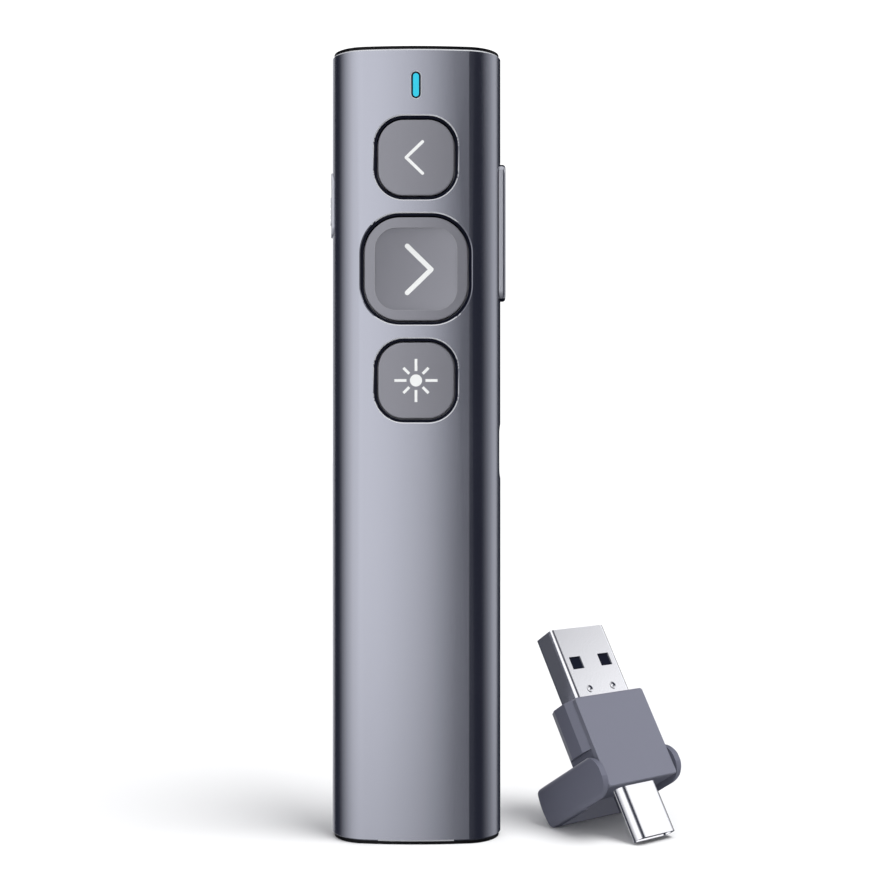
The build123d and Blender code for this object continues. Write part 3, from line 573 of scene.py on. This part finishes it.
@dataclass
class PowerSlide:
    """The slide switch on the left side: its frame, its ribbed knob and the switch behind them."""

    def build(self) -> None:
        """Dresses the slide's nodes."""
        dress(Skin.SIDE_KEY, "power_bezel", "power_knob")
        dress(Skin.BLACK_PLASTIC_AND_PAINTED_SHADE, "power_switch")


# ---------------------------------------------------------------- clicker, inside
@dataclass
class Insides:
    """The board, the battery, the laser, the charging socket and the receiver's bay."""

    def build(self) -> None:
        """Dresses the nodes inside the sleeve."""
        dress(Skin.BOARD, "main_board")
        dress(Skin.CHIP, "radio_chip", "charge_chip")
        dress(Skin.STEEL, "board_screws", "volume_pin", "button_switches", "side_switches", "laser_diode")
        dress(Skin.CHASSIS, "chassis")
        dress(Skin.FOIL, "battery")
        dress(Skin.FOAM, "battery_pad")
        dress(Skin.BRASS, "laser_barrel")
        dress(Skin.WINDOW, "laser_lens")
        dress(Skin.PLUG, "port_shell")
        dress(Skin.BLACK_PLASTIC_AND_PAINTED_SHADE, "port_tongue", "receiver_bay")
        dress(Skin.MAGNET, "bay_magnet")


# ---------------------------------------------------------------- receiver
@dataclass
class Receiver:
    """The receiver with its two plugs and the swinging guard of the smaller one."""

    pieces: tuple[str, ...] = ("receiver_cover", "receiver_housing", "usb_a_shell", "usb_a_tongue",
                               "usb_a_contacts", "usb_c_shell", "usb_c_core", "receiver_board",
                               "receiver_chip", "guard_pins", "flip_guard")

    def build(self) -> None:
        """Dresses the receiver's nodes; the sleeve's polished side doesn't mirror them."""
        dress(Skin.RECEIVER_FACE, "receiver_cover")
        dress(Skin.RECEIVER_BODY, "receiver_housing", "flip_guard")
        dress(Skin.PLUG, "usb_a_shell", "usb_c_shell")
        dress(Skin.BLACK_PLASTIC_AND_PAINTED_SHADE, "usb_a_tongue", "usb_c_core")
        dress(Skin.GOLD, "usb_a_contacts")
        dress(Skin.STEEL, "guard_pins")
        dress(Skin.BOARD, "receiver_board")
        dress(Skin.CHIP, "receiver_chip")
        for name in self.pieces:
            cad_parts[name].visible_glossy = False


# ---------------------------------------------------------------- studio
@dataclass(frozen=True)
class Stop:
    """One point of the light that stands round the object.

    Args:
        name: what stands there; not used.
        azimuth: its direction in degrees, 0 towards the front and positive to the right.
        level: its brightness.
    """

    name: str
    azimuth: float
    level: float


@dataclass
class Tent:
    """The light tent: walls whose brightness changes round the object, a ceiling and a side box."""

    walls: tuple[Stop, ...] = (
        Stop("back wall", -180.0, 0.75),
        Stop("left panel", -146.0, 0.76),
        Stop("left gap", -134.0, 0.0),
        Stop("left gap ends", -105.0, 0.0),
        Stop("key wall starts", -98.0, 0.10),
        Stop("key wall rises", -76.0, 0.58),
        Stop("key wall", -52.0, 1.05),
        Stop("key wall at its brightest", -30.0, 1.25),
        Stop("key wall starts to fall", -13.0, 1.25),
        Stop("key wall falls", -6.0, 1.05),
        Stop("key wall falls on", 0.0, 0.96),
        Stop("key wall falls faster", 8.0, 0.61),
        Stop("key wall ends", 16.0, 0.07),
        Stop("front gap", 40.0, 0.0),
        Stop("front gap ends", 60.0, 0.0),
        Stop("right wall rises", 84.0, 0.33),
        Stop("right wall", 108.0, 0.74),
        Stop("right wall goes on", 122.0, 0.72),
        Stop("right gap", 133.0, 0.0),
        Stop("right gap ends", 178.0, 0.0),
    )
    shade: Colour = (0.030, 0.033, 0.050)   # the little light that comes from everywhere
    ceiling_level: float = 0.85
    ceiling_from: float = 48.0          # how high the ceiling's light starts, in degrees
    ceiling_soft: float = 16.0          # over how many degrees it grows to its full level
    foot_level: float = 0.60            # the walls' share of light near their foot
    foot_low: float = -19.9             # they keep that share up to this height, in degrees
    foot_high: float = -9.2             # and have all of their light from this height on
    side_box_level: float = 1.2
    side_box_azimuth: float = 93.0
    side_box_half: float = 26.0         # half of the box's width, in degrees
    side_box_side: float = 5.0          # how soft its sides are, in degrees
    side_box_foot: tuple[float, float] = (19.0, 24.0)   # dark at the first height, full at the second
    side_box_head: tuple[float, float] = (44.0, 31.0)   # the same for its upper edge
    backdrop_level: float = 1.2

    def build(self) -> None:
        """Wires the tent as the scene's world."""
        world = bpy.data.worlds.new("light tent")
        world.use_nodes = True
        tree = world.node_tree
        tree.nodes.clear()
        place = tree.nodes.new("ShaderNodeTexCoord")
        parts = tree.nodes.new("ShaderNodeSeparateXYZ")
        tree.links.new(place.outputs["Generated"], parts.inputs["Vector"])
        turn = self._azimuth(tree, parts)
        level = self._maths(tree, "MULTIPLY", self._walls(tree, turn), self._foot(tree, parts))
        for extra in (self._ceiling(tree, parts), self._side_box(tree, parts, turn)):
            level = self._maths(tree, "MAXIMUM", level, extra)
        self._output(tree, level)
        bpy.context.scene.world = world

    @staticmethod
    def _maths(tree: bpy.types.NodeTree, operation: str,
               *values: bpy.types.NodeSocket | float) -> bpy.types.NodeSocket:
        """Adds a Math node.

        Args:
            tree: the world's node tree.
            operation: what the node does.
            values: its inputs, as sockets or numbers.

        Returns:
            The node's output.
        """
        node = tree.nodes.new("ShaderNodeMath")
        node.operation = operation
        for socket, value in zip(node.inputs, values):
            if isinstance(value, bpy.types.NodeSocket):
                tree.links.new(value, socket)
            else:
                socket.default_value = value
        return node.outputs[0]

    @staticmethod
    def _edge(tree: bpy.types.NodeTree, value: bpy.types.NodeSocket, dark: float,
              light: float) -> bpy.types.NodeSocket:
        """A soft edge: 0 at dark, 1 at light, smooth between them.

        Args:
            tree: the world's node tree.
            value: what the edge depends on.
            dark: the value with no light.
            light: the value with all of it.

        Returns:
            The socket with the share of light.
        """
        edge = tree.nodes.new("ShaderNodeMapRange")
        edge.interpolation_type = "SMOOTHSTEP"
        edge.inputs["From Min"].default_value = dark
        edge.inputs["From Max"].default_value = light
        tree.links.new(value, edge.inputs["Value"])
        return edge.outputs["Result"]

    def _azimuth(self, tree: bpy.types.NodeTree, parts: bpy.types.Node) -> bpy.types.NodeSocket:
        """Gives a direction's azimuth in radians, 0 towards the front.

        Args:
            tree: the world's node tree.
            parts: the node that gives the direction's x, y and z.

        Returns:
            The socket with the azimuth.
        """
        front = self._maths(tree, "MULTIPLY", parts.outputs["Y"], -1.0)
        return self._maths(tree, "ARCTAN2", parts.outputs["X"], front)

    def _walls(self, tree: bpy.types.NodeTree, turn: bpy.types.NodeSocket) -> bpy.types.NodeSocket:
        """Turns an azimuth into the walls' brightness.

        Args:
            tree: the world's node tree.
            turn: the socket with the azimuth.

        Returns:
            The socket with the brightness.
        """
        share = tree.nodes.new("ShaderNodeMapRange")
        share.inputs["From Min"].default_value = -math.pi
        share.inputs["From Max"].default_value = math.pi
        ramp = tree.nodes.new("ShaderNodeValToRGB")
        ramp.color_ramp.interpolation = "LINEAR"
        stops = ramp.color_ramp.elements
        given = len(stops)
        for number, stop in enumerate(self.walls):
            spot = (stop.azimuth + HALF_TURN) / (2.0 * HALF_TURN)
            made = stops[number] if number < given else stops.new(spot)
            made.position = spot
            made.color = (stop.level, stop.level, stop.level, 1.0)
        tree.links.new(turn, share.inputs["Value"])
        tree.links.new(share.outputs["Result"], ramp.inputs["Fac"])
        return ramp.outputs["Color"]

    def _foot(self, tree: bpy.types.NodeTree, parts: bpy.types.Node) -> bpy.types.NodeSocket:
        """Gives the walls' share of light by height: less near their foot.

        Args:
            tree: the world's node tree.
            parts: the node that gives the direction's x, y and z.

        Returns:
            The socket with the share.
        """
        share = self._edge(tree, parts.outputs["Z"], rise_of(self.foot_low), rise_of(self.foot_high))
        rise = self._maths(tree, "MULTIPLY", share, 1.0 - self.foot_level)
        return self._maths(tree, "ADD", rise, self.foot_level)

    def _ceiling(self, tree: bpy.types.NodeTree, parts: bpy.types.Node) -> bpy.types.NodeSocket:
        """Gives the overhead light, soft at its edge.

        Args:
            tree: the world's node tree.
            parts: the node that gives the direction's x, y and z.

        Returns:
            The socket with the brightness.
        """
        full = self.ceiling_from + self.ceiling_soft
        share = self._edge(tree, parts.outputs["Z"], rise_of(self.ceiling_from), rise_of(full))
        return self._maths(tree, "MULTIPLY", share, self.ceiling_level)

    def _side_box(self, tree: bpy.types.NodeTree, parts: bpy.types.Node,
                  turn: bpy.types.NodeSocket) -> bpy.types.NodeSocket:
        """Gives the softbox that hangs above the right wall, which the leaning plugs mirror.

        Args:
            tree: the world's node tree.
            parts: the node that gives the direction's x, y and z.
            turn: the socket with the azimuth.

        Returns:
            The socket with the brightness.
        """
        middle = math.radians(self.side_box_azimuth)
        half = math.radians(self.side_box_half)
        off = self._maths(tree, "ABSOLUTE", self._maths(tree, "SUBTRACT", turn, middle))
        across = self._edge(tree, off, half + math.radians(self.side_box_side), half)
        foot = self._edge(tree, parts.outputs["Z"], *map(rise_of, self.side_box_foot))
        head = self._edge(tree, parts.outputs["Z"], *map(rise_of, self.side_box_head))
        upright = self._maths(tree, "MULTIPLY", foot, head)
        share = self._maths(tree, "MULTIPLY", across, upright)
        return self._maths(tree, "MULTIPLY", share, self.side_box_level)

    def _output(self, tree: bpy.types.NodeTree, level: bpy.types.NodeSocket) -> None:
        """Shows a white backdrop to the camera, and the tent to everything else.

        Args:
            tree: the world's node tree.
            level: the tent's brightness.
        """
        shade = tree.nodes.new("ShaderNodeVectorMath")
        shade.operation = "ADD"
        shade.inputs[1].default_value = self.shade
        tent = tree.nodes.new("ShaderNodeBackground")
        backdrop = tree.nodes.new("ShaderNodeBackground")
        backdrop.inputs["Strength"].default_value = self.backdrop_level
        backdrop.inputs["Color"].default_value = WHITE
        rays = tree.nodes.new("ShaderNodeLightPath")
        mix = tree.nodes.new("ShaderNodeMixShader")
        out = tree.nodes.new("ShaderNodeOutputWorld")
        tree.links.new(level, shade.inputs[0])
        tree.links.new(shade.outputs["Vector"], tent.inputs["Color"])
        tree.links.new(rays.outputs["Is Camera Ray"], mix.inputs["Fac"])
        tree.links.new(tent.outputs[0], mix.inputs[1])
        tree.links.new(backdrop.outputs[0], mix.inputs[2])
        tree.links.new(mix.outputs[0], out.inputs["Surface"])


@dataclass
class Studio:
    """Pale floor, light tent and camera."""

    floor_half: float = 3.0             # half of the floor's side, in metres
    sun_azimuth: float = 60.0           # degrees, 0 towards the front and positive to the right
    sun_elevation: float = 62.0         # degrees
    sun_width: float = 34.0             # how broad the light looks, in degrees
    sun_power: float = 2.8
    camera_x: float = 0.0030            # metres, as are the next three
    camera_distance: float = 0.2255
    camera_height: float = 0.0646
    camera_near: float = 0.01           # what is nearer than this isn't seen
    camera_tilt: float = 90.0           # degrees from straight down, so the camera is level
    focal: float = 57.52                # millimetres, as is the next
    sensor: float = 36.0

    def build(self) -> None:
        """Builds the stage, the lights and the camera."""
        self._floor()
        Tent().build()
        self._sun()
        self._camera()

    def _floor(self) -> None:
        """Lays the floor; metal mirrors the tent instead of it."""
        bpy.ops.object.select_all(action="DESELECT")
        bpy.ops.mesh.primitive_plane_add(size=2.0 * self.floor_half)
        sheet = bpy.context.object
        sheet.name = "studio_floor"
        sheet.visible_glossy = False
        sheet.data.materials.append(Skin.FLOOR.value.material())

    def _sun(self) -> None:
        """Hangs the broad light that lays the soft shadow to the left."""
        data = bpy.data.lights.new("overhead light", "SUN")
        data.energy = self.sun_power
        data.angle = math.radians(self.sun_width)
        lamp = bpy.data.objects.new("overhead light", data)
        turn = math.radians(self.sun_azimuth)
        rise = math.radians(self.sun_elevation)
        towards = Vector((math.sin(turn) * math.cos(rise), -math.cos(turn) * math.cos(rise), math.sin(rise)))
        lamp.rotation_euler = towards.to_track_quat("Z", "Y").to_euler()
        lamp.visible_glossy = False
        bpy.context.scene.collection.objects.link(lamp)

    def _camera(self) -> None:
        """Sets up the level camera in front of the button face."""
        data = bpy.data.cameras.new("camera")
        data.sensor_width = self.sensor
        data.lens = self.focal
        data.clip_start = self.camera_near
        camera = bpy.data.objects.new("camera", data)
        camera.location = (self.camera_x, -self.camera_distance, self.camera_height)
        camera.rotation_euler = (math.radians(self.camera_tilt), 0.0, 0.0)
        bpy.context.scene.collection.objects.link(camera)
        bpy.context.scene.camera = camera


def main() -> None:
    """Builds the object and its studio in order."""
    logging.basicConfig(level=logging.INFO)
    for part in (Sleeve(), Keypad(), VolumeRocker(), PowerSlide(), Insides(), Receiver()):
        part.build()
        LOG.info("built %s", type(part).__name__)
    Studio().build()
    bpy.context.scene.view_settings.view_transform = "Standard"


if __name__ == "__main__":
    main()
